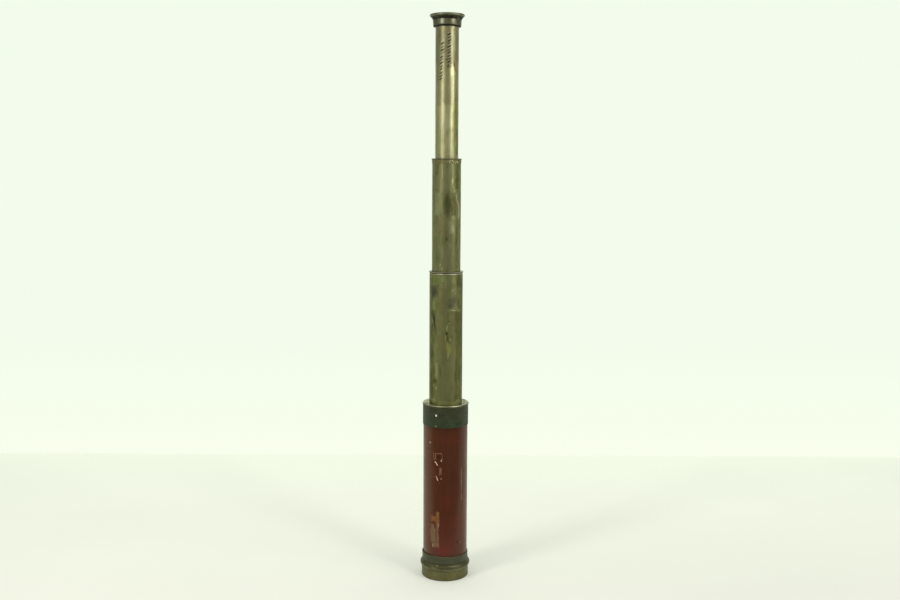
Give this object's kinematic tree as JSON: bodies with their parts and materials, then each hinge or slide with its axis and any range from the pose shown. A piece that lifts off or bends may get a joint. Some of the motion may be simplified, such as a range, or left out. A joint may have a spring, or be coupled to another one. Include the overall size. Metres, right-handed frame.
{
  "type": "draw-tube hand telescope",
  "caption": "Pull-out hand telescope with a wooden barrel, nested sliding brass tubes, a slip-on objective cap and a flared eye cup, standing on its objective end.",
  "frame": {"origin": "centre of the resting face, which is the outside face of the objective cap", "axes": "+Z along the optical axis from the objective towards the eye; -Y is the side with the lower-numbered screw column turned towards the viewer; +X to the viewer's right"},
  "size_m": [0.0644, 0.0644, 0.7181],
  "materials": {
    "mahogany": "varnished red-brown hardwood, glossy, with scratches and a worn patch",
    "japanned_brass": "dark green-black lacquered brass, semi-gloss, worn at the edges",
    "brass_patina": "olive tarnished brass, satin, with dark stains and rubbed spots",
    "brass_bright": "old polished brass, pale gold, glossy",
    "brass_dark": "dark grey-brown tarnished brass, satin",
    "brass_inner": "turned brass, bare",
    "blackened_brass": "chemically blackened brass, matt",
    "optical_glass": "polished optical glass"
  },
  "bodies": {
    "barrel": {"barrel_tube": "mahogany", "upper_ferrule": "japanned_brass", "upper_ferrule_screws": "brass_bright", "barrel_mouth_ring": "brass_bright", "barrel_guide_sleeve": "brass_inner", "lower_ferrule": "japanned_brass", "objective_cell": "brass_patina", "crown_lens": "optical_glass", "lens_spacer": "brass_inner", "flint_lens": "optical_glass", "objective_retaining_ring": "brass_inner"},
    "objective_cap": {"objective_cap": "brass_patina"},
    "draw_3": {"draw_3_tube": "brass_patina", "draw_3_collar": "brass_patina", "draw_3_guide_sleeve": "brass_inner", "draw_3_stop_ring": "brass_inner", "draw_3_baffle": "blackened_brass"},
    "draw_2": {"draw_2_tube": "brass_patina", "draw_2_collar": "brass_patina", "draw_2_guide_sleeve": "brass_inner", "draw_2_stop_ring": "brass_inner", "draw_2_baffle": "blackened_brass"},
    "draw_1": {"draw_1_tube": "brass_bright", "draw_1_stop_ring": "brass_inner", "erector_tube": "brass_inner", "erector_lower_cell": "brass_inner", "erector_lower_lens": "optical_glass", "erector_lower_ring": "brass_inner", "erector_stop": "blackened_brass", "erector_upper_cell": "brass_inner", "erector_upper_lens": "optical_glass", "erector_upper_ring": "brass_inner", "eyepiece_tube": "brass_inner", "field_lens_cell": "brass_inner", "field_lens": "optical_glass", "field_lens_ring": "brass_inner", "eyepiece_field_stop": "blackened_brass", "eye_lens_cell": "brass_inner", "eye_lens": "optical_glass", "eye_lens_ring": "brass_inner", "eye_cup": "brass_dark", "eye_face_plate": "brass_dark", "shutter_pivot_screw": "brass_inner"},
    "eye_shutter": {"shutter_leaf": "brass_inner", "shutter_knob": "brass_dark"}
  },
  "joints": [
    {"name": "cap_pull", "type": "slide", "parent": "barrel", "child": "objective_cap", "axis": [0, 0, -1], "range_m": [0, 0.03]},
    {"name": "draw_3_slide", "type": "slide", "parent": "barrel", "child": "draw_3", "axis": [0, 0, 1], "range_m": [-0.1676, 0]},
    {"name": "draw_2_slide", "type": "slide", "parent": "draw_3", "child": "draw_2", "axis": [0, 0, 1], "range_m": [-0.1356, 0.0219]},
    {"name": "draw_1_focus", "type": "slide", "parent": "draw_2", "child": "draw_1", "axis": [0, 0, 1], "range_m": [-0.1617, 0.005]},
    {"name": "shutter_swing", "type": "hinge", "parent": "draw_1", "child": "eye_shutter", "pos_m": [-0.0105, 0, 0.714], "axis": [0, 0, 1], "range_deg": [0, 55]}
  ]
}
